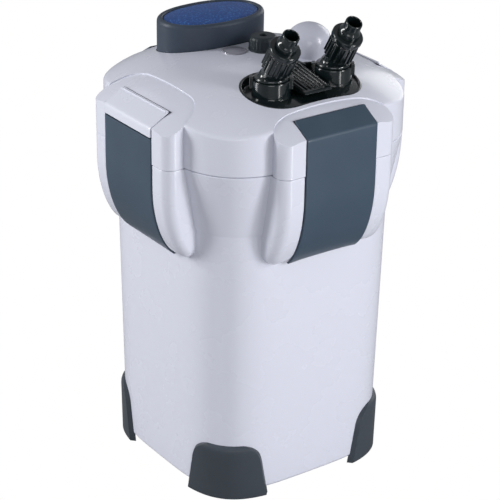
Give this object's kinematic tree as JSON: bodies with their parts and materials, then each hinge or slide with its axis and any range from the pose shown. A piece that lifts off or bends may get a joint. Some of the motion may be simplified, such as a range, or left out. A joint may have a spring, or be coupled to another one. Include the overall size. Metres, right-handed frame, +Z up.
{
  "type": "canister filter",
  "caption": "External canister filter: a rounded-square canister with media baskets, a motor head held by clamps, a push primer, a UV lamp and leaning hose unions with a shut-off lever.",
  "frame": {"origin": "on the floor under the middle of the canister", "axes": "+Z up, -Y to the front, where the hose unions lean out over the front clamp, +X to the right seen from the front"},
  "size_m": [0.28, 0.28, 0.4656],
  "materials": {
    "canister_plastic": "smooth semi-gloss moulding",
    "head_plastic": "smooth semi-gloss moulding",
    "clamp_plastic": "semi-gloss moulding",
    "foot_plastic": "satin moulding",
    "valve_plastic": "gloss moulding",
    "primer_plastic": "satin moulding",
    "primer_pad": "speckled soft-touch moulding",
    "seal_rubber": "matt rubber",
    "steel": "plain stainless steel",
    "ball_plastic": "natural engineering plastic",
    "inner_plastic": "plain moulding",
    "uv_cap_plastic": "smooth semi-gloss moulding",
    "lens_plastic": "clear tinted moulding",
    "gland_plastic": "satin moulding",
    "lamp_glass": "clear glass",
    "winding": "copper winding and laminated core",
    "magnet": "ground ferrite",
    "ceramic": "unglazed ceramic",
    "coarse_sponge": "open-cell sponge",
    "fine_wool": "fine filter wool"
  },
  "bodies": {
    "base": {"canister": "canister_plastic", "foot_front": "foot_plastic", "foot_right": "foot_plastic", "foot_back": "foot_plastic", "foot_left": "foot_plastic", "canister_seal": "seal_rubber", "head_cover": "head_plastic", "head_base": "inner_plastic", "head_screws": "steel", "clamp_pins": "steel", "valve_tray": "valve_plastic", "inlet_socket": "valve_plastic", "outlet_socket": "valve_plastic", "prime_cylinder": "inner_plastic", "prime_spring": "steel", "check_valve": "seal_rubber", "uv_cap": "uv_cap_plastic", "uv_lamp_base": "ball_plastic", "uv_lamp": "lamp_glass", "quartz_sleeve": "lamp_glass", "indicator_lens": "lens_plastic", "cord_gland": "gland_plastic", "motor_housing": "gland_plastic", "stator": "winding", "rotor_shaft": "ceramic", "shaft_bushes": "seal_rubber", "impeller_cover": "inner_plastic", "intake_pipe": "gland_plastic", "outlet_duct": "gland_plastic", "basket_top": "gland_plastic", "basket_middle": "gland_plastic", "basket_bottom": "gland_plastic", "media_top": "fine_wool", "media_middle": "ceramic", "media_bottom": "coarse_sponge"},
    "front_clamp": {"clamp_front": "clamp_plastic"},
    "back_clamp": {"clamp_back": "clamp_plastic"},
    "left_clamp": {"clamp_left": "clamp_plastic", "clamp_cap_left": "head_plastic"},
    "right_clamp": {"clamp_right": "clamp_plastic", "clamp_cap_right": "head_plastic"},
    "primer": {"prime_cap": "primer_plastic", "prime_pad": "primer_pad", "prime_rod": "ball_plastic", "piston_seal": "seal_rubber"},
    "lever": {"valve_lever": "valve_plastic"},
    "ball_valves": {"valve_shaft": "steel", "inlet_ball": "ball_plastic", "outlet_ball": "ball_plastic"},
    "inlet_union": {"inlet_elbow": "valve_plastic", "inlet_elbow_seal": "seal_rubber", "inlet_nozzle": "valve_plastic"},
    "outlet_union": {"outlet_elbow": "valve_plastic", "outlet_elbow_seal": "seal_rubber", "outlet_nozzle": "valve_plastic"},
    "inlet_nut": {"inlet_lock_nut": "valve_plastic"},
    "outlet_nut": {"outlet_lock_nut": "valve_plastic"},
    "rotor": {"impeller": "ball_plastic", "rotor_magnet": "magnet"}
  },
  "joints": [
    {"name": "front_clamp_hinge", "type": "hinge", "parent": "base", "child": "front_clamp", "pos_m": [0, -0.1225, 0.3824], "axis": [-1, 0, 0], "range_deg": [0, 95]},
    {"name": "back_clamp_hinge", "type": "hinge", "parent": "base", "child": "back_clamp", "pos_m": [0, 0.1225, 0.3824], "axis": [1, 0, 0], "range_deg": [0, 95]},
    {"name": "left_clamp_hinge", "type": "hinge", "parent": "base", "child": "left_clamp", "pos_m": [-0.1225, 0, 0.3824], "axis": [0, 1, 0], "range_deg": [0, 95]},
    {"name": "right_clamp_hinge", "type": "hinge", "parent": "base", "child": "right_clamp", "pos_m": [0.1225, 0, 0.3824], "axis": [0, -1, 0], "range_deg": [0, 95]},
    {"name": "primer_push", "type": "slide", "parent": "base", "child": "primer", "axis": [0, 0, -1], "range_m": [0, 0.012], "stiffness_N_per_m": 500, "springref_m": -0.012, "deforming": ["prime_spring"]},
    {"name": "lever_hinge", "type": "hinge", "parent": "base", "child": "lever", "pos_m": [0.003, -0.0465, 0.4055], "axis": [-1, 0, 0], "range_deg": [0, 75]},
    {"name": "ball_valve_turn", "type": "hinge", "parent": "base", "child": "ball_valves", "pos_m": [0.003, -0.072, 0.385], "axis": [-1, 0, 0], "range_deg": [0, 90]},
    {"name": "inlet_swivel", "type": "hinge", "parent": "base", "child": "inlet_union", "pos_m": [-0.031, -0.072, 0.4135], "axis": [0, 0, 1], "range_deg": [-15, 15]},
    {"name": "outlet_swivel", "type": "hinge", "parent": "base", "child": "outlet_union", "pos_m": [0.039, -0.072, 0.4135], "axis": [0, 0, 1], "range_deg": [-15, 15]},
    {"name": "inlet_nut_turn", "type": "hinge", "parent": "inlet_union", "child": "inlet_nut", "pos_m": [-0.031, -0.072, 0.4135], "axis": [0, -0.515, 0.8572], "continuous": true},
    {"name": "outlet_nut_turn", "type": "hinge", "parent": "outlet_union", "child": "outlet_nut", "pos_m": [0.039, -0.072, 0.4135], "axis": [0, -0.515, 0.8572], "continuous": true},
    {"name": "rotor_spin", "type": "hinge", "parent": "base", "child": "rotor", "pos_m": [-0.048, 0, 0.36], "axis": [0, 0, 1], "continuous": true}
  ],
  "couplings": [
    {"joint": "ball_valve_turn", "follows": "lever_hinge", "ratio": 1.2}
  ]
}
